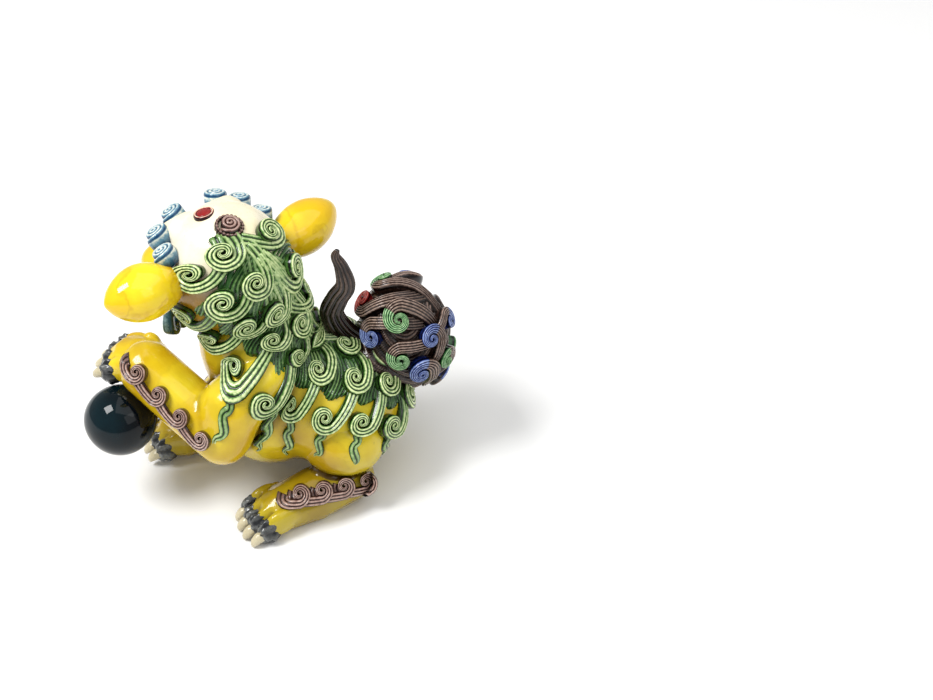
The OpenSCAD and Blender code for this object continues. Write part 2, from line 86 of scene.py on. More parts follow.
def middle(node):
    """The middle of a CAD node's box."""
    low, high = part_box(node)
    return np.array((low + high) / 2)


def unit(v):
    """A vector, or each row of vectors, at length 1."""
    v = np.array(v, float)
    return v / np.linalg.norm(v, axis=-1, keepdims=True)


# ---- Pieces ----
def publish(mesh, name, material, slot, *nodes):
    """Puts a mesh in the scene as a piece that stands for CAD nodes."""
    piece = bpy.data.objects.new(name, mesh)
    scene.collection.objects.link(piece)
    mesh.materials.clear()
    mesh.materials.append(material)
    for polygon in mesh.polygons:
        polygon.use_smooth = True
    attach(piece, BODY)
    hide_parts(*nodes)


class Clay:
    """Vertices and faces of a piece while it is built, with two glaze values per vertex.

    ridge is 0 in a groove and 1 on a crest. tone runs from the deep to the pale glaze.
    """

    def __init__(self):
        self.points = []
        self.faces = []
        self.ridge = []
        self.tone = []
        self.count = 0

    def add(self, points, faces, ridge, tone):
        """Adds points, and faces that count from the first of them."""
        points = np.asarray(points, float).reshape(-1, 3)
        self.points.append(points)
        self.faces += [tuple(int(i) + self.count for i in face) for face in faces]
        self.ridge.append(np.broadcast_to(ridge, len(points)))
        self.tone.append(np.broadcast_to(tone, len(points)))
        self.count += len(points)

    def tube(self, rings, ridge, tone):
        """Joins closed rings of points, shaped (rings, points, 3), and caps both ends."""
        n, m = rings.shape[:2]
        index = np.arange(n * m).reshape(n, m)
        right = np.roll(index, -1, axis=1)
        quads = np.stack([index[:-1], right[:-1], right[1:], index[1:]], -1).reshape(-1, 4)
        caps = [tuple(index[0][::-1]), tuple(index[-1])]
        ridge = np.broadcast_to(ridge, (n, m)).reshape(-1)
        tone = np.broadcast_to(np.reshape(tone, (-1, 1)), (n, m)).reshape(-1)
        self.add(rings.reshape(-1, 3), list(quads) + caps, ridge, tone)

    def mesh(self, name):
        """The clay as a mesh with its two glaze values."""
        mesh = bpy.data.meshes.new(name)
        mesh.from_pydata(np.concatenate(self.points).tolist(), [], self.faces)
        mesh.update()
        store(mesh, "ridge", np.concatenate(self.ridge))
        store(mesh, "tone", np.concatenate(self.tone))
        face_outwards(mesh)
        return mesh

    def publish(self, name, material, slot, *nodes):
        """Puts the clay in the scene as a piece."""
        publish(self.mesh(name), name, material, slot, *nodes)


def store(mesh, name, values):
    """Stores a value at each vertex, for a glaze to read."""
    data = mesh.attributes.new(name, "FLOAT", "POINT").data
    data.foreach_set("value", values.astype(np.float32))


def face_outwards(mesh):
    """Turns the faces of each closed part of a mesh to the outside."""
    bm = bmesh.new()
    bm.from_mesh(mesh)
    bmesh.ops.recalc_face_normals(bm, faces=bm.faces)
    bm.to_mesh(mesh)
    bm.free()


# ---- Smooth masses ----
def turned(place, order, angles):
    """A frame after turns about its own axes, in degrees."""
    for axis, angle in zip(order, angles):
        place = place @ Matrix.Rotation(math.radians(angle), 4, axis)
    return place


def ellipsoid(bm, basis, centre, half, turn=(0, 0, 0)):
    """Adds an ellipsoid to a bmesh, in the frame of basis, in millimetres and degrees."""
    place = turned(basis @ Matrix.Translation(mm(*centre)), "XYZ", turn)
    place = place @ Matrix.Diagonal((*mm(*half), 1))
    bmesh.ops.create_icosphere(bm, subdivisions=4, radius=1, matrix=place)


def soften(bm, voxel, passes, swell=0.0):
    """Melts the closed shapes of a bmesh into one smooth skin."""
    rough = bpy.data.meshes.new("rough")
    bm.to_mesh(rough)
    bm.free()
    lump = bpy.data.objects.new("rough", rough)
    scene.collection.objects.link(lump)
    voxels = lump.modifiers.new("voxels", "REMESH")
    voxels.mode = "VOXEL"
    voxels.voxel_size = voxel
    smooth = lump.modifiers.new("smooth", "SMOOTH")
    smooth.factor = 0.5
    smooth.iterations = passes
    graph = bpy.context.evaluated_depsgraph_get()
    mesh = bpy.data.meshes.new_from_object(lump.evaluated_get(graph))
    bpy.data.objects.remove(lump)
    bpy.data.meshes.remove(rough)
    if swell:
        for vertex, normal in zip(mesh.vertices, [v.normal.copy() for v in mesh.vertices]):
            vertex.co += normal * swell
    return mesh


def cad_copy(*nodes):
    """A bmesh with copies of CAD nodes."""
    bm = bmesh.new()
    for node in nodes:
        bm.from_mesh(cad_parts[node].data)
    return bm


def tree_of(mesh):
    """A ray-casting tree of a mesh."""
    bm = bmesh.new()
    bm.from_mesh(mesh)
    tree = BVHTree.FromBMesh(bm)
    bm.free()
    return tree


# ---- Skins that bands are wrapped on ----
class Barrel:
    """A skin around a straight spine: one radius for each station and angle.

    A station is 0 at the start of the spine and 1 at its end. An angle is in degrees from
    the up direction towards the side direction.
    """

    STATIONS = np.linspace(-0.5, 1.3, 145)
    ANGLES = np.linspace(-180, 180, 145)
    RADIUS_IF_MISSED = 12 * MM
    LEAST_RADIUS = 8 * MM
    STATION_STEP = 0.03
    ANGLE_STEP = 5

    def __init__(self, tree, start, end, up, side, far, blur):
        self.start = np.array(start, float)
        self.span = np.array(end, float) - self.start
        self.length = np.linalg.norm(self.span)
        self.up = unit(up)
        self.side = unit(side)
        radius = np.zeros((len(self.STATIONS), len(self.ANGLES)))
        for i, station in enumerate(self.STATIONS):
            axis = self.start + self.span * station
            for j, angle in enumerate(self.ANGLES):
                out = self.out(angle)
                hit = tree.ray_cast(Vector(axis + out * far), Vector(-out))[0]
                radius[i, j] = np.dot(np.array(hit) - axis, out) if hit else self.RADIUS_IF_MISSED
        for _ in range(blur):
            radius = (np.roll(radius, 1, 1) + 2 * radius + np.roll(radius, -1, 1)) / 4
            padded = np.pad(radius, ((1, 1), (0, 0)), mode="edge")
            radius = (padded[:-2] + 2 * radius + padded[2:]) / 4
        self.radius = np.maximum(radius, self.LEAST_RADIUS)

    def out(self, angle):
        """The direction away from the spine at an angle."""
        turn = np.radians(np.asarray(angle, float))[..., None]
        return self.up * np.cos(turn) + self.side * np.sin(turn)

    def reach(self, station, angle):
        """The distance from the spine to the skin."""
        angle = (np.asarray(angle, float) + 180) % 360 - 180
        i = np.interp(station, self.STATIONS, np.arange(len(self.STATIONS)))
        j = np.interp(angle, self.ANGLES, np.arange(len(self.ANGLES)))
        i0 = np.minimum(i.astype(int), len(self.STATIONS) - 2)
        j0 = np.minimum(j.astype(int), len(self.ANGLES) - 2)
        di, dj = i - i0, j - j0
        before = self.radius[i0, j0] * (1 - dj) + self.radius[i0, j0 + 1] * dj
        after = self.radius[i0 + 1, j0] * (1 - dj) + self.radius[i0 + 1, j0 + 1] * dj
        return before * (1 - di) + after * di

    def foot(self, station, angle):
        """The point on the skin at a station and an angle."""
        axis = self.start + self.span * np.asarray(station, float)[..., None]
        return axis + self.out(angle) * self.reach(station, angle)[..., None]

    def place(self, station, angle, height):
        """Points that stand above the skin, along its normal."""
        station, angle, height = np.broadcast_arrays(station, angle, height)
        step, turn = self.STATION_STEP, self.ANGLE_STEP
        along = self.foot(station + step, angle) - self.foot(station - step, angle)
        around = self.foot(station, angle + turn) - self.foot(station, angle - turn)
        normal = unit(np.cross(around, along))
        inside = np.sum(normal * self.out(angle), axis=-1, keepdims=True) < 0
        normal = np.where(inside, -normal, normal)
        return self.foot(station, angle) + normal * height[..., None]

    def patch(self, station, angle, side=1):
        """A flat map around a point: along the spine, round it to a side and up, in metres."""
        radius = float(self.reach(np.array(station), np.array(angle)))

        def place(u, v, h):
            return self.place(station + u / self.length, angle + side * np.degrees(v / radius), h)

        return place


def axes(normal, along):
    """Three directions at right angles: the normal, across it, and as near along as can be."""
    normal = unit(normal)
    across = unit(np.cross(normal, along))
    return normal, across, np.cross(across, normal)


def flat_patch(origin, normal, along):
    """A flat map that isn't wrapped on anything."""
    normal, across, along = axes(normal, along)

    def place(u, v, h):
        u, v, h = np.broadcast_arrays(u, v, h)
        flat = u[..., None] * along + v[..., None] * across
        return np.array(origin) + flat + h[..., None] * normal

    return place


def landed(tree, points, up, far):
    """Drops points on a skin, each against its up direction, from far above it."""
    result = points.copy()
    for index in np.ndindex(*points.shape[:-1]):
        ray = Vector(up[index])
        hit = tree.ray_cast(Vector(points[index]) + ray * far, -ray)[0]
        if hit:
            result[index] = hit
    return result


def draped_patch(tree, origin, normal, along):
    """A map that is dropped on a skin from above, against its normal."""
    flat = flat_patch(origin, normal, along)
    normal = unit(normal)

    def place(u, v, h):
        u, v, h = np.broadcast_arrays(u, v, h)
        points = flat(u, v, np.zeros_like(u))
        up = np.broadcast_to(normal, points.shape)
        return landed(tree, points, up, 20 * MM) + normal * h[..., None]

    return place


def dome_patch(tree, centre, out, along, radius):
    """A map that is wrapped round a bulging mass, from a point in the direction out."""
    out, across, along = axes(out, along)

    def place(u, v, h):
        u, v, h = np.broadcast_arrays(u, v, h)
        far = np.hypot(u, v) / radius
        safe = np.maximum(np.hypot(u, v), 1e-9)
        around = along * (u / safe)[..., None] + across * (v / safe)[..., None]
        way = out * np.cos(far)[..., None] + around * np.sin(far)[..., None]
        return landed(tree, centre + way * radius, way, 54 * MM) + way * h[..., None]

    return place


# ---- Bands, coils, sheets and rods ----
def smoothstep(x, low, high):
    """0 below low, 1 above high, and a soft step between."""
    t = np.clip((np.asarray(x, float) - low) / (high - low), 0, 1)
    return t * t * (3 - 2 * t)


def band(clay, place, line, half, top, ridges, tone, groove, sink=1.2 * MM, wall=0.35):
    """A ribbed band along a line of points (u, v), with its half width and height at each.

    wall is a ridge value for its sides, which get darker towards their foot.
    """
    line = np.asarray(line, float)
    n = len(line)
    half = np.broadcast_to(half, n)
    top = np.broadcast_to(top, n)
    way = unit(np.gradient(line, axis=0))
    across = np.stack([-way[:, 1], way[:, 0]], 1)
    w = np.linspace(-1, 1, 6 * ridges + 1)
    crest = np.sqrt(np.abs(np.sin(np.pi * ridges * (w + 1) / 2)))
    depth = np.minimum(groove, half * 0.4)
    crown = top[:, None] * (1 - 0.16 * w**4) - depth[:, None] * (1 - crest)
    side = np.array([-0.9, -1.04, -1.06])
    section = np.concatenate([side, w, -side[::-1]])
    rise = np.stack([np.full(n, -sink), top * 0.2, top * 0.6], 1)
    heights = np.concatenate([rise, crown, rise[:, ::-1]], 1)
    edge = np.clip(np.array([0.3, 1, 1.6]) * wall, 0, 1)
    ridge = np.concatenate([edge, crest, edge[::-1]])
    u = line[:, :1] + across[:, :1] * section * half[:, None]
    v = line[:, 1:] + across[:, 1:] * section * half[:, None]
    clay.tube(place(u, v, heights), ridge, tone)


# How fast a scroll shrinks, its half width as a share of its radius so that its turns touch,
# and the points of the line that leads to it
ROLL = 0.2
SCROLL_SHARE = math.tanh(math.pi * ROLL)
LEAD_POINTS = 22


def scroll_line(root, radius, turns, hand, heading, bend):
    """A line from root that swings round the origin and rolls up there.

    The scroll is entered in the direction heading, in degrees from +v towards -u. bend says how
    far the line swings out on its way.
    """
    turn = math.radians(heading)
    down = np.array([-math.sin(turn), math.cos(turn)])
    right = np.array([math.cos(turn), math.sin(turn)]) * hand
    entry = right * radius
    root = np.array(root, float)
    pull = np.linalg.norm(entry - root) * bend
    knee = entry - down * pull
    t = np.linspace(0, 1, LEAD_POINTS)[:, None]
    lead = root * (1 - t) ** 2 + knee * 2 * t * (1 - t) + entry * t**2
    angle = np.linspace(0, 2 * math.pi * turns, int(34 * turns))[1:, None]
    shrink = radius * np.exp(-angle * ROLL)
    roll = shrink * (right * np.cos(angle) + down * np.sin(angle))
    return np.concatenate([lead, roll])


CURL_GROOVE = 1.1 * MM


def curl_profile(line, radius, height, root_half, root_height, tone, share):
    """The half width, height and tone along the line of a curl. The tone is painted shade at the
    root, where the band comes out from under other pieces, and grows lighter towards the scroll.
    """
    count = np.arange(len(line))
    lead = np.clip(count / (LEAD_POINTS - 1), 0, 1)
    rolled = np.clip((count - LEAD_POINTS) / (len(line) - LEAD_POINTS), 0, 1)
    tight = share + (SCROLL_SHARE - share) * smoothstep(rolled, 0, 0.5)
    half = root_half + (radius * share - root_half) * smoothstep(lead, 0, 1)
    half = np.where(count < LEAD_POINTS, half, np.linalg.norm(line, axis=1) * tight)
    top = root_height + (height - root_height) * smoothstep(lead, 0.2, 1) + 0.1 * height * rolled
    shade = tone[0] + (tone[1] - tone[0]) * smoothstep(lead, 0.1, 1)
    return half, top, shade


def curl(clay, place, root, radius, height, *, turns, hand, heading, root_half, root_height, tone,
         bend=0.6, share=0.5):
    """A band with three ridges that runs from root and rolls up at the patch's middle.

    share is its half width as a share of the radius where the scroll starts.
    """
    line = scroll_line(root, radius, turns, hand, heading, bend)
    half, top, shade = curl_profile(line, radius, height, root_half, root_height, tone, share)
    band(clay, place, line, half, top, 3, shade, CURL_GROOVE)


def slab(clay, outer, inner, ridge, tone):
    """A closed sheet between two grids of points."""
    n, m = outer.shape[:2]
    index = np.arange(n * m).reshape(n, m)
    top = np.stack([index[:-1, :-1], index[1:, :-1], index[1:, 1:], index[:-1, 1:]], -1)
    top = top.reshape(-1, 4)
    rim = np.concatenate([index[0], index[1:, -1], index[-1, -2::-1], index[-2:0:-1, 0]])
    wall = [(a, b, b + n * m, a + n * m) for a, b in zip(rim, np.roll(rim, -1))]
    faces = list(top) + list(top[:, ::-1] + n * m) + wall
    clay.add([outer, inner], faces, np.tile(ridge.ravel(), 2), np.tile(tone.ravel(), 2))


def coil(clay, place, radius, height, turns, tone, dome, groove=0.9 * MM, wall=0.35):
    """A flat coil of clay: one band rolled up from its rim to its middle."""
    angle = np.linspace(0, 2 * math.pi * turns, int(30 * turns))
    left = 1 - angle / angle[-1]
    half = radius / (2 * turns + 1) * np.ones_like(angle)
    track = (radius - half[0]) * (0.06 + 0.94 * left)
    line = np.stack([track * np.cos(angle), track * np.sin(angle)], 1)
    top = height * (1 + dome * (1 - left)) * smoothstep(1 - left, -0.12, 0.06)
    band(clay, place, line, half * 1.04, top, 1, tone, groove, 2.5 * MM, wall)


def lathe(clay, place, profile, around):
    """A turned shape. The profile has its radius and height in mm, ridge and tone."""
    angle = circle(around)
    radius, height, ridge, tone = np.array(profile, float).T
    rings = place(np.outer(radius * MM, np.cos(angle)), np.outer(radius * MM, np.sin(angle)),
                  np.outer(height * MM, np.ones(around)))
    clay.tube(rings, np.outer(ridge, np.ones(around)), tone)


def bead_line(clay, place, radius, height, beads):
    """A ring of small beads round a rosette."""
    angle = np.linspace(0, 2 * math.pi, beads * 8 + 1)
    line = radius * np.stack([np.cos(angle), np.sin(angle)], 1)
    swell = np.abs(np.sin(angle * beads / 2)) ** 0.5
    band(clay, place, line, (0.35 + 0.55 * swell) * MM, height * (0.8 + 0.2 * swell), 1,
         0.1 + 0.4 * swell, 0.3 * MM)


def catmull(points, count):
    """A smooth line of count points through the given ones."""
    points = np.asarray(points, float)
    padded = np.concatenate([[2 * points[0] - points[1]], points, [2 * points[-1] - points[-2]]])
    place = np.linspace(0, len(points) - 1 - 1e-6, count)
    i = place.astype(int)
    t = (place - i)[:, None]
    p0, p1, p2, p3 = (padded[i + k] for k in range(4))
    return 0.5 * (2 * p1 + (p2 - p0) * t + (2 * p0 - 5 * p1 + 4 * p2 - p3) * t**2
                  + (3 * p1 - p0 - 3 * p2 + p3) * t**3)


def rod(clay, points, radii, count, ridges=0, flat=1.0, facing=(1, 0, 0), depth=0.12,
        around=24, tone=(0.5, 0.5)):
    """A tapered rod along a smooth line, with ridges along it. flat squeezes it towards facing."""
    knots = np.concatenate([np.asarray(points, float), np.reshape(radii, (-1, 1))], 1)
    path = catmull(knots, count)
    centre, radius = path[:, :3], np.maximum(path[:, 3], 0.2 * MM)
    way = unit(np.gradient(centre, axis=0))
    side = unit(np.cross(way, unit(facing)))
    front = np.cross(side, way)
    around = 6 * ridges if ridges else around
    angle = circle(around)
    crest = np.sqrt(np.abs(np.sin(angle * ridges / 2))) if ridges else np.ones(around)
    reach = radius[:, None] * (1 - depth * (1 - crest))
    rings = (centre[:, None] + side[:, None] * (reach * np.cos(angle))[..., None]
             + front[:, None] * (reach * flat * np.sin(angle))[..., None])
    clay.tube(rings, crest, np.linspace(tone[0], tone[1], count))


# ---- Glazes ----
def material_with(name):
    """A new material, its node tree and its shader node."""
    material = bpy.data.materials.new(name)
    material.use_nodes = True
    tree = material.node_tree
    return material, tree, tree.nodes["Principled BSDF"]


def feed(tree, node, inputs):
    """Sets inputs of a node, each from a value or from a socket."""
    for key, value in inputs.items():
        if isinstance(value, bpy.types.NodeSocket):
            tree.links.new(value, node.inputs[key])
        else:
            node.inputs[key].default_value = value


def add_node(tree, kind, inputs, output, **settings):
    """Adds a node to a tree and gives one of its outputs."""
    node = tree.nodes.new(kind)
    for name, value in settings.items():
        setattr(node, name, value)
    feed(tree, node, inputs)
    return node.outputs[output]


def noise_node(tree, coordinates, scale, detail, roughness=0.5):
    """Cloudy noise, as a socket."""
    inputs = {"Vector": coordinates, "Scale": scale, "Detail": detail, "Roughness": roughness}
    return add_node(tree, "ShaderNodeTexNoise", inputs, "Fac")


def map_range(tree, value, low, high, to_low=0.0, to_high=1.0):
    """A socket's value, moved from one range to another."""
    inputs = {"Value": value, "From Min": low, "From Max": high, "To Min": to_low,
              "To Max": to_high}
    return add_node(tree, "ShaderNodeMapRange", inputs, "Result")


def math_node(tree, operation, a, b):
    """A sum, a product or the like of two values."""
    return add_node(tree, "ShaderNodeMath", {0: a, 1: b}, "Value", operation=operation)


def mix(tree, factor, a, b):
    """A colour between a and b, which are colours or sockets."""
    return add_node(tree, "ShaderNodeMix", {"Factor": factor, 6: a, 7: b}, 2, data_type="RGBA")


def attribute(tree, name):
    """A value that is stored on the mesh, as a socket."""
    return add_node(tree, "ShaderNodeAttribute", {}, "Fac", attribute_name=name)


def linear(code):
    """A hex code as an opaque colour in linear light."""
    parts = [int(code[i:i + 2], 16) / 255 for i in (0, 2, 4)]
    light = [p / 12.92 if p <= 0.04045 else ((p + 0.055) / 1.055) ** 2.4 for p in parts]
    return (*light, 1)


def ribbed_colour(tree, broad, fine, deep, main, pale, groove):
    """Deep to main by the tone, pale on the crests of pale parts, and dark in the grooves. The
    pale crests are the glaze's own pale colour together with a painted highlight, and the dark
    grooves are the groove glaze together with painted shade.
    """
    level = map_range(tree, broad, 0.3, 0.7, -0.22, 0.22)
    level = math_node(tree, "ADD", attribute(tree, "tone"), level)
    noisy_ridge = map_range(tree, fine, 0.3, 0.7, -0.14, 0.14)
    noisy_ridge = math_node(tree, "ADD", attribute(tree, "ridge"), noisy_ridge)
    body = mix(tree, map_range(tree, level, 0.0, 0.55), linear(deep), linear(main))
    light = map_range(tree, level, 0.1, 1.0)
    # Painted highlight on the crests, together with the pale glaze there
    pale_crest_and_highlight = math_node(tree, "MULTIPLY", light, map_range(tree, noisy_ridge, 0.74, 1.02))
    body = mix(tree, pale_crest_and_highlight, body, linear(pale))
    # Painted shade in the grooves, together with the groove glaze
    return mix(tree, map_range(tree, noisy_ridge, 0.26, 0.86), linear(groove), body)


def smooth_colour(tree, broad, fine, deep, main, pale, veins):
    """Clouds of main and pale, with deep glaze in veins and specks, and where the stored value
    darkens it: pooled glaze, and painted shade in creases and low down.
    """
    colour = mix(tree, map_range(tree, broad, 0.36, 0.66), linear(main), linear(pale))
    # Painted shade, with pooled glaze in the creases
    colour = mix(tree, attribute(tree, "pool"), colour, linear(deep))
    line = math_node(tree, "ABSOLUTE", math_node(tree, "SUBTRACT", broad, 0.5), 0.0)
    colour = mix(tree, map_range(tree, line, 0.0, 0.03, veins, 0.0), colour, linear(deep))
    return mix(tree, map_range(tree, fine, 0.66, 0.8, 0.0, 0.35), colour, linear(deep))


COAT_ROUGHNESS = 0.04
RIPPLE_STRENGTH = 0.25
RIPPLE_HEIGHT = 0.3 * MM


def glaze(name, deep, main, pale, groove=None, rough=0.16, mottle=60.0, coat=0.2, veins=0.0,
          ior=1.42):
    """A glossy ceramic glaze. One with a groove colour is for ribbed pieces."""
    material, tree, shader = material_with(name)
    spot = add_node(tree, "ShaderNodeTexCoord", {}, "Object")
    broad = noise_node(tree, spot, mottle, 4.0)
    fine = noise_node(tree, spot, mottle * 9, 3.0, 0.6)
    if groove:
        colour = ribbed_colour(tree, broad, fine, deep, main, pale, groove)
    else:
        colour = smooth_colour(tree, broad, fine, deep, main, pale, veins)
    gloss = map_range(tree, fine, 0.2, 0.8, rough * 0.6, rough * 1.5)
    ripples = {"Height": noise_node(tree, spot, mottle * 4, 3.0), "Strength": RIPPLE_STRENGTH,
               "Distance": RIPPLE_HEIGHT}
    normal = add_node(tree, "ShaderNodeBump", ripples, "Normal")
    feed(tree, shader, {"Base Color": colour, "Roughness": gloss, "IOR": ior, "Normal": normal,
                        "Coat Weight": coat, "Coat Roughness": COAT_ROUGHNESS})
    return material


body_glaze = glaze("ochre_glaze", "4E3604", "CCA60E", "F3DC32", mottle=26.0, veins=0.07)
head_glaze = glaze("ivory_glaze", "96700A", "F0E4BE", "F8F2DE", mottle=45.0, rough=0.3)
ear_glaze = glaze("lemon_glaze", "B07806", "EBBE10", "F7DC24", mottle=34.0, rough=0.08, veins=0.3)
ball_glaze = glaze("navy_glaze", "020406", "03070C", "082027", mottle=26.0, rough=0.05, coat=0.0,
                   ior=1.32)
nose_glaze = glaze("red_glaze", "5A0A0A", "A81A1C", "C43A34", mottle=40.0)
eye_glaze = glaze("eye_glaze", "E8E4D6", "EFEBDD", "F4F1E6", "08080A")
tongue_glaze = glaze("tongue_glaze", "5E1512", "B4413A", "C7605A", mottle=60.0)
tooth_glaze = glaze("tooth_glaze", "D8CFAE", "EFE9D2", "F7F3E4", "A89A70")
claw_glaze = glaze("claw_glaze", "9A8E6E", "BEB28E", "DED5B8", "6E6248")
fur_glaze = glaze("fur_glaze", "1A1C1E", "3C3F42", "9A9C96", "0C0D0E", rough=0.2)
mane_glaze = glaze("mane_glaze", "1A4E1C", "55883A", "E2EEB0", "020602")
mauve_glaze = glaze("mauve_glaze", "3C2420", "6E4A42", "CBAFA2", "100706")
brown_glaze = glaze("brown_glaze", "1C100B", "3C2820", "A48C7E", "060302")
blue_glaze = glaze("blue_glaze", "081444", "16307E", "A0B4E4", "020412")
green_glaze = glaze("green_glaze", "14441F", "2F7A3A", "B4D8A2", "041206")
red_scroll_glaze = glaze("red_scroll_glaze", "5A0C0C", "9A2020", "D06A60", "2A0404")
disc_glaze = glaze("disc_glaze", "8A1414", "B0201E", "EFE2C4", "240A08")
brown_core = glaze("brown_core", "0A0503", "231510", "3C2820", mottle=50.0)
brow_glaze = glaze("brow_glaze", "22587C", "6C9CB0", "F2F0E0", "0E3E64")
beard_glaze = glaze("beard_glaze", "2C5A62", "8FB0B0", "EDF0E6", "1C4246")


# ---- The body ----
# Painted shade low on the statue: full below the first height, gone above the second, and how
# uneven its line is
SHADE_FULL_BELOW = 8 * MM
SHADE_GONE_ABOVE = 62 * MM
UNEVEN = 14 * MM


def vertex_vectors(mesh, name):
    """The places or the normals of a mesh's vertices."""
    values = np.zeros(len(mesh.vertices) * 3)
    mesh.vertices.foreach_get(name, values)
    return values.reshape(-1, 3)


def pooled_and_shaded(mesh, amount=0.9):
    """Stores how dark each vertex is painted: pooled glaze with painted shade in creases, and
    painted shade low on the statue.
    """
    co = vertex_vectors(mesh, "co")
    normal = vertex_vectors(mesh, "normal")
    edges = np.zeros(len(mesh.edges) * 2, int)
    mesh.edges.foreach_get("vertices", edges)
    a, b = edges.reshape(-1, 2).T
    degree = np.bincount(edges, minlength=len(co)).clip(1)

    def spread(values):
        """The mean value of each vertex's neighbours."""
        total = np.zeros_like(values)
        np.add.at(total, a, values[b])
        np.add.at(total, b, values[a])
        return total / degree.reshape(-1, *[1] * (values.ndim - 1))

    wide = co
    for _ in range(6):
        wide = spread(wide)
    hollow = np.sum((wide - co) * normal, axis=1) / MM
    for _ in range(3):
        hollow = spread(hollow)
    uneven = np.array([noise.noise(Vector(p) * 45) for p in co])
    low = 1 - smoothstep(co[:, 2] + uneven * UNEVEN, SHADE_FULL_BELOW, SHADE_GONE_ABOVE)
    # Creases darken with pooled glaze and painted shade, low parts with painted shade; the noise
    # adds random dark patches
    pool = np.clip(hollow * amount, 0, 1) + 0.5 * low + 0.3 * np.clip(uneven, 0, 1)
    store(mesh, "pool", np.clip(pool, 0, 1))
    return mesh


# How dark the body's creases get, from pooled glaze and painted shade
BODY_POOL_AND_SHADE = 2.6
limbs = [f"{side}_{part}" for part in ("arm", "thigh") for _, side in SIDES]
feet = [f"{side}_{part}" for part in ("hind_foot", "forepaw") for _, side in SIDES]
torso_mesh = soften(cad_copy("torso_shell", *limbs, *feet), 1.8 * MM, 30)
publish(pooled_and_shaded(torso_mesh, BODY_POOL_AND_SHADE), "body_skin", body_glaze, "body_glaze", "torso_shell")
for limb in limbs:
    limb_mesh = soften(cad_copy(limb), 1.5 * MM, 26, 0.9 * MM)
    publish(pooled_and_shaded(limb_mesh, BODY_POOL_AND_SHADE), limb + "_skin", body_glaze, "body_glaze", limb)

bed_mesh = soften(cad_copy("torso_shell", "head_shell", *limbs, *feet[:2]), 2.5 * MM, 20)
bed_tree = tree_of(bed_mesh)

# ---- The mane ----
SPINE_START = mm(-2, -26.6, 108)
SPINE_END = mm(0, 43.4, 40)
spine_way = unit(np.subtract(SPINE_END, SPINE_START))
back = Barrel(bed_tree, SPINE_START, SPINE_END, np.cross((1, 0, 0), spine_way), (1, 0, 0),
              far=160 * MM, blur=5)

# The parting: the station of the nape, the angle there, and how fast it leans over in front
# of the nape and behind it, in degrees for a whole spine
NAPE = 0.08
NAPE_ANGLE = 22
LEAN_BEFORE = 22
LEAN_BEHIND = 65


def parting(t):
    """The angle of the parting: on the left of the turned head, past the middle at the rump."""
    t = np.asarray(t, float)
    before = np.maximum(NAPE - t, 0)
    behind = np.clip(t - NAPE, 0, 0.6)
    return NAPE_ANGLE - LEAN_BEHIND * behind - LEAN_BEFORE * before


# The rows of locks. A pair is for the left and the right flank, with count locks between the
# stations first and last. A row lies at angle and climbs the back from the station climb_from
# on. Its right side follows the parting by lean. Its locks take a share lead of the full way
# to their scrolls, and start at root_angle beside the parting.
# The tones are painted shade and light: the lower rows, under the ones above, are darker and the
# upper row is lighter. The slots light, mid and dark are the one mane glaze painted lit and
# shaded.
ROWS = (
    SimpleNamespace(
        name="upper", slot="mane_light_glaze", first=(-0.22, -0.10), last=0.84, count=(7, 6),
        angle=33, climb_from=0.15, climb=48, lean=1.0, lead=1, root_angle=0, tone=(0.6, 1.15),
        radius=5.6 * MM, height=7.2 * MM, root_height=3.4 * MM, share=0.46),
    SimpleNamespace(
        name="middle", slot="mane_mid_glaze", first=(-0.26, 0.16), last=1.09, count=(9, 6),
        angle=51, climb_from=0.62, climb=95, lean=0.7, lead=0.8, root_angle=3, tone=(0.35, 1.05),
        radius=6.0 * MM, height=6.2 * MM, root_height=2.7 * MM, share=0.43),
    SimpleNamespace(
        name="lower", slot="mane_dark_glaze", first=(-0.13, 0.28), last=1.07, count=(8, 5),
        angle=90, climb_from=0.58, climb=78, lean=0.5, lead=0.4, root_angle=14, tone=(0.2, 0.95),
        radius=6.5 * MM, height=5.4 * MM, root_height=2.2 * MM, share=0.4),
)
UPPER, MIDDLE, LOWER = ROWS
TENDRILS = {"left": (0.22, 0.46, 0.58, 0.73, 0.89, 1.06), "right": (0.4, 0.56, 0.73, 0.9, 1.06)}
STRAND_PITCH = 1.9 * MM


def row_angle(row, side, t):
    """The angle of the scrolls of a row, on the left (1) or right (-1) flank."""
    left = row.angle - row.climb * max(t - row.climb_from, 0) - LEAN_BEFORE * max(NAPE - t, 0)
    return left if side > 0 else 2 * row.lean * float(parting(t)) - left


def lock(clay, row, side, t):
    """One lock: from the parting or from under the row above, to its scroll."""
    angle = row_angle(row, side, t)
    root_t = t - float(np.clip(0.14 + 0.45 * t, 0.03, 0.3)) * row.lead
    root_angle = float(parting(root_t)) + side * row.root_angle
    r = float(back.reach(np.array(t), np.array(angle)))
    root = ((root_t - t) * back.length, math.radians(root_angle - angle) * r)
    heading = 50 * float(smoothstep(-t, -0.35, 0.15)) + rng.uniform(-7, 7)
    size = rng.uniform(0.94, 1.1)
    curl(clay, back.patch(t, angle), root, row.radius * size, row.height * size, turns=1.6,
         hand=side, heading=heading if side > 0 else 180 - heading, root_half=3.2 * MM,
         root_height=row.root_height, tone=row.tone, share=row.share)


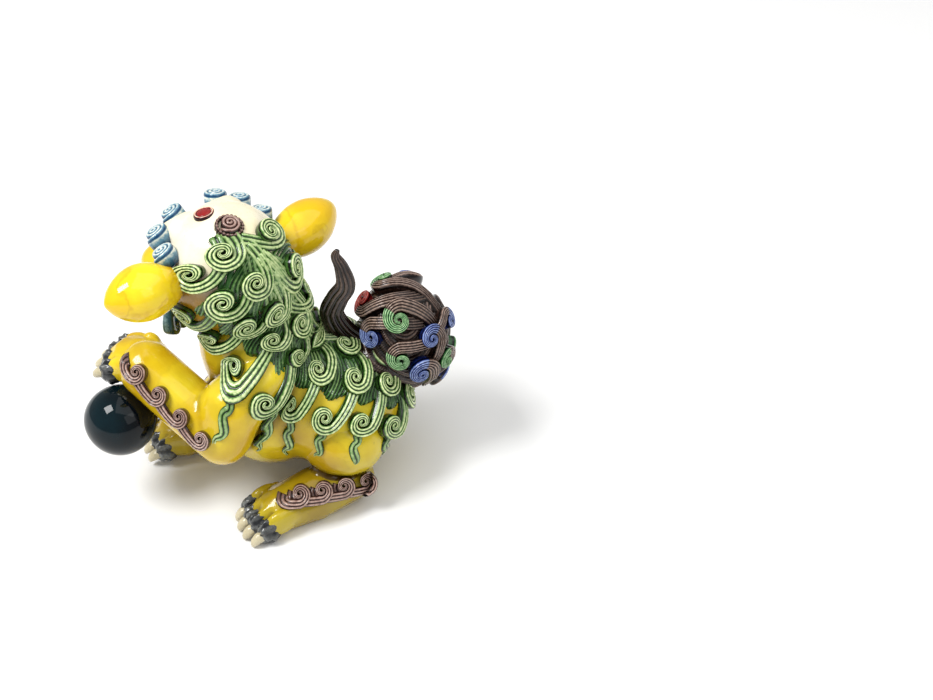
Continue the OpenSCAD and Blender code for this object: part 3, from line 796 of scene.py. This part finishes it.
def undercoat(clay, side):
    """Combed strands that cover the skin between the parting and the lowest row. Their low tone
    keeps them dark, as painted shade in the gaps between the locks.
    """
    stations = np.linspace(-0.17 if side > 0 else -0.06, 1.1, 420)
    fractions = np.linspace(0, 1, 46)
    t, f = np.meshgrid(stations, fractions, indexing="ij")
    middle_row, low_row = (
        np.array([row_angle(row, side, float(x)) for x in stations])[:, None]
        for row in (MIDDLE, LOWER)
    )
    low = middle_row + (low_row - middle_row) * (0.6 + 0.12 * np.sin(t * 38))
    top = parting(t) + side * -2
    angle = top + (low - top) * f
    wave = 0.02 * np.sin(f * 7 + t * 9)
    strand = (t - 0.16 * f + wave) * back.length / STRAND_PITCH
    crest = np.sqrt(np.abs(np.sin(np.pi * strand)))
    rim = smoothstep(f, 0, 0.06) * smoothstep(1 - f, 0, 0.1)
    rim = rim * smoothstep(t, stations[0], stations[0] + 0.04) * smoothstep(-t, -1.1, -1.05)
    bundle = 0.7 + 0.5 * np.sin(t * 61 - f * 9 + 2 * np.sin(t * 17))
    height = (1.7 * crest * rim + bundle * rim - 1.2 * (1 - rim)) * MM
    outer = back.place(t, angle, height)
    inner = back.place(t, angle, np.full_like(height, -2 * MM))
    # A low tone: painted shade in the gaps between the locks
    slab(clay, outer, inner, crest * 0.62 + 0.25 * bundle * crest, 0.35 * crest)


def tendril(clay, place, length, drift):
    """A wavy strand that runs down from a lock and thins to a point."""
    s = np.linspace(0, 1, 44)
    wobble = 1.5 * MM * np.sin(s * length / (8.5 * MM) * 2 * math.pi) * smoothstep(s, 0, 0.25)
    line = np.stack([wobble + drift * s * length, s * length], 1)
    thin = 1 - 0.75 * smoothstep(s, 0.55, 1)
    band(clay, place, line, 1.9 * MM * thin, 2.8 * MM * thin, 2, 0.25 + 0.5 * s, 0.5 * MM)


for flank_index, (side, flank) in enumerate(SIDES):
    for row in ROWS:
        clay = Clay()
        if row is UPPER:
            undercoat(clay, side)
        for t in np.linspace(row.first[flank_index], row.last, row.count[flank_index]):
            lock(clay, row, side, float(t))
        node = f"mane_{flank}_{row.name}"
        clay.publish(node + "_locks", mane_glaze, row.slot, node)
    clay = Clay()
    for t in TENDRILS[flank]:
        place = back.patch(t + 0.03, row_angle(LOWER, side, t) + side * 8, side)
        length = rng.uniform(15, 21) * MM
        tendril(clay, place, length, rng.uniform(0.5, 0.9))
    clay.publish(f"tendrils_{flank}_strands", mane_glaze, "mane_dark_glaze", f"tendrils_{flank}")


# ---- The head: points of its own frame have +X its left, -Y its face, +Z its crown ----
HEAD_CENTRE = mm(-3, -16.6, 129)
HEAD_TURN = 43
HEAD_TILT = 6
head_frame = turned(Matrix.Translation(HEAD_CENTRE), "ZY", (-HEAD_TURN, -HEAD_TILT))


def on_head(x, y, z):
    """A point of the head's frame, given in millimetres."""
    return np.array(head_frame @ Vector(mm(x, y, z)))


def head_way(x, y, z):
    """A direction of the head's frame."""
    return unit(head_frame.to_3x3() @ Vector((x, y, z)))


def shell_mesh(node, extra, passes):
    """A CAD node with extra ellipsoids, melted into one skin."""
    bm = cad_copy(node)
    for shape in extra:
        ellipsoid(bm, head_frame, *shape)
    return soften(bm, 1.3 * MM, passes, 0.8 * MM)


lids = [((side * 13, -24, 6.5), (9.6, 7.5, 9.0)) for side, _ in SIDES]
lids += [((side * 13.5, -27, 12), (10, 7.5, 4.2), (-20, side * 14, 0)) for side, _ in SIDES]
head_mesh = pooled_and_shaded(shell_mesh("head_shell", lids, passes=18))


def shade_cheeks(mesh):
    """Pools glaze low on the head, which fades towards the dome."""
    for vertex, pool in zip(mesh.vertices, mesh.attributes["pool"].data):
        height = vertex.co.z + 5 * MM * noise.noise(vertex.co * 60)
        shade = 1 - float(smoothstep(height, 129 * MM, 148 * MM))
        pool.value = min(1.0, pool.value + shade)


shade_cheeks(head_mesh)
publish(head_mesh, "head_skin", head_glaze, "head_glaze", "head_shell")


EAR_DEPTH = 8 * MM


def hollow_ear(mesh, side):
    """Presses the front of an ear in, and darkens the hollow and the root with painted shade and
    pooled glaze.
    """
    along = head_way(side, 0, 0)
    front = Vector(head_way(0, -1, -0.35))
    tip_shift = Vector(head_way(0, 0, 1)) * (2.5 * MM if side < 0 else -MM)
    spread = [np.dot(vertex.co, along) for vertex in mesh.vertices]
    low, high = min(spread), max(spread)
    normals = [vertex.normal.copy() for vertex in mesh.vertices]
    pool = mesh.attributes["pool"].data
    for vertex, normal, value, amount in zip(mesh.vertices, normals, spread, pool):
        share = (value - low) / (high - low)
        vertex.co += tip_shift * share ** 3
        facing = max(0.0, normal.dot(front))
        press = math.sin(math.pi * min(share * 1.1, 1)) * float(smoothstep(facing, 0.25, 0.95))
        vertex.co -= front * press * EAR_DEPTH
        # Painted shade, with pooled glaze, in the pressed hollow and at the root
        root = 0.45 * float(1 - smoothstep(share, 0.0, 0.3))
        amount.value = min(1.0, amount.value + 0.5 * press + root)


for side, name in SIDES:
    ear_mesh = pooled_and_shaded(soften(cad_copy(f"{name}_ear"), 1.3 * MM, 12, 0.4 * MM), 0.4)
    hollow_ear(ear_mesh, side)
    publish(ear_mesh, f"{name}_ear_skin", ear_glaze, "ear_glaze", f"{name}_ear")

muzzle_extra = [((0, -34, 1), (9, 12, 7), (20, 0, 0))]
muzzle_extra += [((side * 12, -38, -9), (10.5, 10.5, 8.5)) for side, _ in SIDES]
muzzle_mesh = pooled_and_shaded(shell_mesh("muzzle", muzzle_extra, passes=14))
publish(muzzle_mesh, "muzzle_skin", body_glaze, "head_glaze", "muzzle")
jaw_mesh = pooled_and_shaded(shell_mesh("lower_jaw", [((0, -36, -33), (8, 7, 7))], passes=14))
publish(jaw_mesh, "jaw_skin", body_glaze, "head_glaze", "lower_jaw")

nose_bm = bmesh.new()
ellipsoid(nose_bm, head_frame, (0, -44, 0), (7.5, 6.5, 6.5))
for side, _ in SIDES:
    ellipsoid(nose_bm, head_frame, (side * 6, -42, -2), (5.5, 5.5, 4.5))
nose_mesh = pooled_and_shaded(soften(nose_bm, 0.8 * MM, 8, 0.3 * MM))
publish(nose_mesh, "nose_bulb", nose_glaze, "red_glaze", "nose")

tongue_bm = bmesh.new()
ellipsoid(tongue_bm, head_frame, (0, -31, -20), (8.5, 15, 3), (-8, 0, 0))
ellipsoid(tongue_bm, head_frame, (0, -22, -18), (15, 6, 9))
tongue_mesh = pooled_and_shaded(soften(tongue_bm, 0.9 * MM, 10))
publish(tongue_mesh, "tongue_slip", tongue_glaze, "tongue_glaze", "tongue")

# A row of teeth: its node, its height in the head in mm, and the way that it grows
GUMS = (("upper_teeth", -14, -1), ("lower_teeth", -32, 1))
for node, gum, grow in GUMS:
    clay = Clay()
    for k in range(8):
        turn = math.radians(150 * (k / 7 - 0.5))
        length = 8 if k in (1, 6) else 5
        foot = np.array([15 * math.sin(turn), -27 - 16 * math.cos(turn), gum])
        knots = [foot + (0, 0, -grow), foot + (0, -0.4, grow * length * 0.45),
                 foot + (0, 1.5, grow * length)]
        rod(clay, [on_head(*p) for p in knots], mm(2.4, 2.0, 0.5), count=12, around=14)
    clay.publish(node + "_row", tooth_glaze, "tooth_glaze", node)

# The eyes are balls with a dark pupil at the front pole. The radius is in mm.
EYE_RADIUS = 6.6
polar = np.linspace(0.04, math.pi - 0.04, 40)
white = smoothstep(polar, 0.46, 0.5)
eye_profile = np.stack([EYE_RADIUS * np.sin(polar), EYE_RADIUS * np.cos(polar), white, white], 1)
for side, name in SIDES:
    clay = Clay()
    gaze = head_way(side * 0.25, -1, 0.05)
    place = flat_patch(on_head(side * 13.5, -27.5, 6), gaze, head_way(0, 0, 1))
    lathe(clay, place, eye_profile, 40)
    clay.publish(f"{name}_eyeball", eye_glaze, "eye_glaze", f"{name}_eye")

for side, name in SIDES:
    for k in range(3):
        node = f"brow_curl_{name}_{k + 1}"
        normal = head_way(0.45, -0.45, 1) if side > 0 else head_way(-0.1, -0.2, 1)
        clay = Clay()
        foot = middle(node) - normal * 2 * MM
        place = flat_patch(foot, normal, head_way(side, 0, 0))
        coil(clay, place, 6.9 * MM, 5.6 * MM, 2.6, 0.85, 0.12, groove=1.7 * MM, wall=0.62)
        clay.publish(node + "_coil", brow_glaze, "brow_glaze", node)

clay = Clay()
head_side = head_way(1, 0, 0)
crown_normal = head_way(0.1, 0.35, 1)
crown_place = flat_patch(on_head(7, 10, 30.5) - crown_normal * MM, crown_normal, head_side)
coil(clay, crown_place, 5.9 * MM, 5.2 * MM, 2.5, 0.75, 0.2)
bead_line(clay, crown_place, 6.2 * MM, 3.6 * MM, 20)
clay.publish("crown_rosette_coil", mauve_glaze, "mauve_glaze", "crown_rosette")
clay = Clay()
lathe(clay, flat_patch(on_head(9, -6, 31), head_way(0.2, -0.15, 1), head_side), (
    (5.3, -3, 0, 0), (5.4, 0.8, 0.1, 0), (5.0, 1.7, 0.2, 1.2), (4.6, 2.0, 1, 1.2),
    (4.1, 1.9, 0.9, 1.2), (3.8, 1.4, 0, 0.2), (3.4, 1.9, 0.8, 0), (2.2, 2.2, 0.8, 0),
    (0.1, 2.3, 0.8, 0)), 64)
clay.publish("forehead_rosette_disc", disc_glaze, "red_glaze", "forehead_rosette")

clay = Clay()
for k in range(5):
    x = 8 * (k - 2)
    place = flat_patch(on_head(x, -33 + abs(x) * 0.5, -44 + abs(x) * 0.2),
                       head_way(x * 0.03, -1, -0.25), head_side)
    curl(clay, place, mm(0, 9 if k % 2 else 11), 3.6 * MM, 5 * MM, turns=1.4,
         hand=1 if k < 2 else -1, heading=180, root_half=2.2 * MM, root_height=3.5 * MM,
         tone=(0.3, 0.9))
clay.publish("beard_locks", beard_glaze, "beard_glaze", "beard_curls")


# ---- Curls along the legs ----
def leg_curls(clay, tree, start, end, normal, side):
    """Four scrolls that follow each other along the edge of a limb, like waves."""
    for k in range(4):
        place = draped_patch(tree, start + (end - start) * k / 3, normal, end - start)
        reach = 14 * MM if k else 8 * MM
        curl(clay, place, (-reach, side * 0.5 * MM), 5.3 * MM, 5.6 * MM, turns=1.5,
             hand=side, heading=-90, root_half=3.5 * MM, root_height=2.8 * MM, tone=(0.3, 0.8),
             share=0.48, bend=1.15)


# A row of leg curls: its limb, its two ends in mm, the way it faces, and its hand
LEG_CURLS = (
    ("left_arm", (28, -62.6, 88), (50, -29.6, 64), (0.75, -0.1, 0.5), 1),
    ("right_arm", (-30, -42.6, 21), (-49, -15.6, 50), (-0.9, -0.1, 0.4), -1),
    ("left_hind", (45, 14.4, 20), (34, 48.4, 17), (0.8, 0.1, 0.6), 1),
    ("right_hind", (-45, 14.4, 20), (-34, 48.4, 17), (-0.8, 0.1, 0.6), -1),
)
body_tree = tree_of(torso_mesh)
for limb, start, end, normal, side in LEG_CURLS:
    clay = Clay()
    leg_curls(clay, body_tree, np.array(mm(*start)), np.array(mm(*end)), normal, side)
    clay.publish(limb + "_scrolls", mauve_glaze, "mauve_glaze", limb + "_curls")


# ---- Paws: points of a paw's own frame have its toes towards -Y ----
# A paw: its node, its origin in mm, its turn about Z and X, how far its toes reach and how
# high its knuckles stand above them, in mm
PAWS = (
    ("left_forepaw", (8.5, -66.1, 78), (-14, -5), 14, 8.5),
    ("right_forepaw", (-10, -54.6, 11), (14, 0), 14, 6),
    ("left_hind_foot", (48, 1.4, 9), (29.4, 0), 11, 6),
    ("right_hind_foot", (-48, 1.4, 9), (-29.4, 0), 11, 6),
)


def tuft(clay, basis, centre, half, seed):
    """A rough tuft of toe fur: a lump with jagged ridges that run from its root to its tip."""
    polar = np.linspace(0.05, math.pi - 0.05, 26)
    angle = circle(42)
    crest = np.sqrt(np.abs(np.sin(angle * 3.5 + seed)))
    ball = np.stack([np.outer(np.sin(polar), np.cos(angle)),
                     np.outer(-np.cos(polar), np.ones_like(angle)),
                     np.outer(np.sin(polar), np.sin(angle))], -1)
    rough = np.array([[noise.noise(Vector(p * 2.2) + Vector((seed, 0, 0))) for p in ring]
                      for ring in ball])
    reach = 0.82 + 0.16 * np.outer(np.sin(polar), crest) + 0.22 * rough
    points = ball * reach[..., None] * np.array(half) + np.array(centre)
    world = np.array([[basis @ Vector(p) for p in ring] for ring in points])
    shade = np.clip(0.3 + 0.9 * rough.mean(axis=1) + 0.3 * np.cos(polar), 0, 1)
    clay.tube(world, np.repeat(crest[None], len(polar), 0) * 0.8 + 0.2, shade)


for node, origin, turn, reach, knuckle in PAWS:
    basis = turned(Matrix.Translation(mm(*origin)), "ZX", turn)
    toes = [(x, abs(x) / 4 - reach, -3) for x in (-10.5, -3.5, 3.5, 10.5)]
    bm = cad_copy(node)
    for x, y, z in toes:
        ellipsoid(bm, basis, (x, y + 7, z + 4.5), (3.5, 9.5, 7.5), (14, 0, 0))
        ellipsoid(bm, basis, (x * 0.95, y + 14, z + knuckle), (3.1, 4.5, 6), (24, 0, 0))
    skin = pooled_and_shaded(soften(bm, 0.8 * MM, 5, 0.4 * MM), 1.6)
    name = node.removesuffix("_foot")
    kind = "paw" if name == node else "foot"
    publish(skin, f"{name}_{kind}_skin", body_glaze, "body_glaze", node)
    fur, claws = Clay(), Clay()
    for k, (x, y, z) in enumerate(toes):
        tuft(fur, basis, mm(x, y, z + 1.5), mm(4.8, 7, 7.8), k * 1.7)
        knots = [(x, y - 2, z), (x, y - 5.6, z - 0.4), (x, y - 8.4, z - 2.6), (x, y - 9.6, z - 5)]
        rod(claws, [basis @ Vector(mm(*p)) for p in knots], mm(2.6, 2.9, 2.3, 0.7), count=20,
            around=16, facing=basis.to_3x3() @ Vector((1, 0, 0)))
    fur.publish(name + "_tufts", fur_glaze, "fur_glaze", name + "_fur")
    claws.publish(name + "_claw_set", claw_glaze, "claw_glaze", name + "_claws")

ball_bm = bmesh.new()
ball_low, ball_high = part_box("ball")
ball_centre = (ball_low + ball_high) / 2
ball_radius = (ball_high.x - ball_low.x) / 2
bmesh.ops.create_uvsphere(ball_bm, u_segments=96, v_segments=64, radius=ball_radius,
                          matrix=Matrix.Translation(ball_centre))
ball_mesh = bpy.data.meshes.new("ball")
ball_bm.to_mesh(ball_mesh)
ball_bm.free()
for vertex in ball_mesh.vertices:
    vertex.co += (vertex.co - ball_centre) * 0.05 * noise.noise(vertex.co * 34)
publish(pooled_and_shaded(ball_mesh), "ball_glazed", ball_glaze, "navy_glaze", "ball")

# ---- The tail ----
TAIL_CENTRE = np.array(mm(-16, 67.4, 75))
TAIL_RADIUS = 22 * MM
TAIL_HALF_HEIGHT = 29 * MM
tail_mesh = soften(cad_copy("tail_core"), 1.6 * MM, 14, 0.5 * MM)
tail_tree = tree_of(tail_mesh)
tail_skin = Barrel(tail_tree, TAIL_CENTRE - [0, 0, TAIL_HALF_HEIGHT],
                   TAIL_CENTRE + [0, 0, TAIL_HALF_HEIGHT], (1, 0, 0), (0, 1, 0), far=80 * MM,
                   blur=2)


def tail_curl(tip, stem, place, root, radius, hand, heading):
    """A curl in two glazes: a stem, and a tip that takes over soon after the scroll starts."""
    line = scroll_line(root, radius, 1.6, hand, heading, 0.75)
    half, top, shade = curl_profile(line, radius, 8 * MM, 3.6 * MM, 4 * MM, (0.3, 0.8), 0.46)
    cut = LEAD_POINTS + 4
    for clay, part in ((stem, slice(0, cut + 1)), (tip, slice(cut, None))):
        band(clay, place, line[part], half[part], top[part], 5, shade[part], CURL_GROOVE)


def comb_tail(clay):
    """Strands that lie round the core of the tail."""
    stations, angles = np.linspace(0.02, 0.98, 240), np.linspace(-180, 180, 181)
    t, a = np.meshgrid(stations, angles, indexing="ij")
    turn = np.radians(a)
    wave = 0.12 * np.sin(turn * 2 + 1) + 0.06 * np.sin(turn * 3 + 2 * t)
    place = (t + wave) * 2 * TAIL_HALF_HEIGHT
    crest = np.sqrt(np.abs(np.sin(np.pi * place / (1.8 * MM))))
    bundle = np.abs(np.sin(np.pi * place / (7.2 * MM))) ** 0.6
    rim = smoothstep(t, 0.02, 0.08) * smoothstep(-t, -0.98, -0.92)
    height = ((1.2 * crest + 1.8 * bundle) * rim - 0.4) * MM
    slab(clay, tail_skin.place(t, a, height), tail_skin.place(t, a, np.full_like(t, -2 * MM)),
         crest * (0.4 + 0.6 * bundle), 0.15 + 0.35 * bundle)


# A scroll of the tail: its glaze, the way it faces, where its band comes from (mm to the
# right and up), its heading, its hand, and its radius in mm
TAIL_SCROLLS = (
    ("red", (0.1, -0.7, 0.72), (26, 2), 90, -1, 5.8),
    ("blue", (0.72, -0.5, 0.42), (24, 8), 90, 1, 6.0),
    ("blue", (0.75, 0.6, 0.4), (8, -20), 0, 1, 6.2),
    ("blue", (0.9, 0.37, -0.1), (6, -20), 0, 1, 7.2),
    ("blue", (0.2, 0.9, 0.4), (-8, -18), 0, -1, 5.2),
    ("blue", (-0.7, 0.1, 0.7), (-16, -10), -60, 1, 5.8),
    ("blue", (0, 0.75, -0.65), (-12, -12), -30, -1, 5.6),
    ("green", (-0.3, -0.35, 0.95), (28, -8), 90, -1, 5.4),
    ("green", (0.7, 0.0, 0.7), (22, -2), 80, 1, 6.6),
    ("green", (0.95, 0.02, 0.17), (24, 8), 90, 1, 6.4),
    ("green", (0.6, 0.9, -0.1), (-4, -20), 0, 1, 5.6),
    ("green", (-0.9, -0.2, 0.3), (-14, -12), -40, 1, 6.0),
    ("green", (-0.7, 0.7, 0), (12, -14), 30, -1, 6.0),
    ("green", (-0.3, 0.9, -0.3), (14, -12), 40, -1, 5.4),
    ("blue", (-0.85, 0.2, -0.4), (-14, -12), -40, 1, 5.8),
)
tail_glazes = {"red": (red_scroll_glaze, "red_glaze"), "blue": (blue_glaze, "blue_glaze"),
               "green": (green_glaze, "green_glaze")}
plumes = Clay()
comb_tail(plumes)
scrolls = {colour: Clay() for colour in tail_glazes}
for colour, out, root, heading, hand, radius in TAIL_SCROLLS:
    outward = np.array(out) * (TAIL_RADIUS, TAIL_RADIUS, TAIL_HALF_HEIGHT)
    place = dome_patch(tail_tree, TAIL_CENTRE, outward, (0, 1, 0.001), 26 * MM)
    tail_curl(scrolls[colour], plumes, place, mm(*root), radius * MM, hand, heading)
plumes.publish("tail_strands", brown_glaze, "brown_glaze", "tail_plumes")
for colour, (material, slot) in tail_glazes.items():
    scrolls[colour].publish(f"tail_scrolls_{colour}", material, slot, f"tail_spirals_{colour}")
publish(pooled_and_shaded(tail_mesh), "tail_core_skin", brown_core, "brown_glaze", "tail_core")

# The flame lock: points of its middle line and its radius there, in mm
FLAME = ((-8, 52, 72, 8), (-7, 45, 78, 7.5), (-6, 37, 87, 7), (-5, 32.5, 99, 6.4),
         (-5, 36, 109, 5.8), (-5, 40.5, 117, 5.2), (-6, 39, 127, 3.8), (-6, 36.5, 134, 2.6),
         (-6, 37.5, 138, 1.2))
clay = Clay()
rod(clay, [mm(*p[:3]) for p in FLAME], mm(*[p[3] for p in FLAME]), ridges=11, flat=0.75,
    depth=0.3, count=90, tone=(0.0, 0.4))
clay.publish("tail_flame_lock", brown_glaze, "brown_glaze", "tail_flame")


# ---- Stage, light and camera ----
def stage():
    """A plain, wide, pale floor."""
    bm = bmesh.new()
    bmesh.ops.create_grid(bm, x_segments=2, y_segments=2, size=6)
    mesh = bpy.data.meshes.new("floor")
    bm.to_mesh(mesh)
    bm.free()
    floor = bpy.data.objects.new("floor", mesh)
    scene.collection.objects.link(floor)
    material, tree, shader = material_with("floor_white")
    feed(tree, shader, {"Base Color": (0.92, 0.92, 0.915, 1), "Roughness": 0.7})
    mesh.materials.append(material)


def softbox(name, place, target, size, power):
    """A rectangular lamp that shines on a target."""
    lamp = bpy.data.lights.new(name, "AREA")
    lamp.shape = "RECTANGLE"
    lamp.size, lamp.size_y = size
    lamp.energy = power
    ob = bpy.data.objects.new(name, lamp)
    ob.location = place
    ob.rotation_euler = (Vector(target) - Vector(place)).to_track_quat("-Z", "Y").to_euler()
    scene.collection.objects.link(ob)


stage()
aim = (cad_box[0] + cad_box[1]) / 2
softbox("key", (0.3, -0.8, 1.4), aim, (0.6, 0.6), 23)
softbox("fill", (0.9, 0.9, 0.9), aim, (0.8, 0.8), 2)
softbox("backdrop", (0.0, 0.6, 1.6), aim, (2.0, 2.0), 14)
world = bpy.data.worlds.new("studio")
scene.world = world
world.use_nodes = True
background = world.node_tree.nodes["Background"]
feed(world.node_tree, background, {"Color": (1, 1, 1, 1), "Strength": 0.4})

CAMERA_PLACE = (0.556, 0.1014, 0.545)
CAMERA_DROP = 40
camera_data = bpy.data.cameras.new("camera")
camera_data.sensor_width = 36
camera_data.lens = 54.02
camera = bpy.data.objects.new("camera", camera_data)
camera.location = CAMERA_PLACE
camera.rotation_euler = (math.radians(90 - CAMERA_DROP), 0, math.radians(90))
scene.collection.objects.link(camera)
scene.camera = camera
scene.view_settings.view_transform = "Standard"
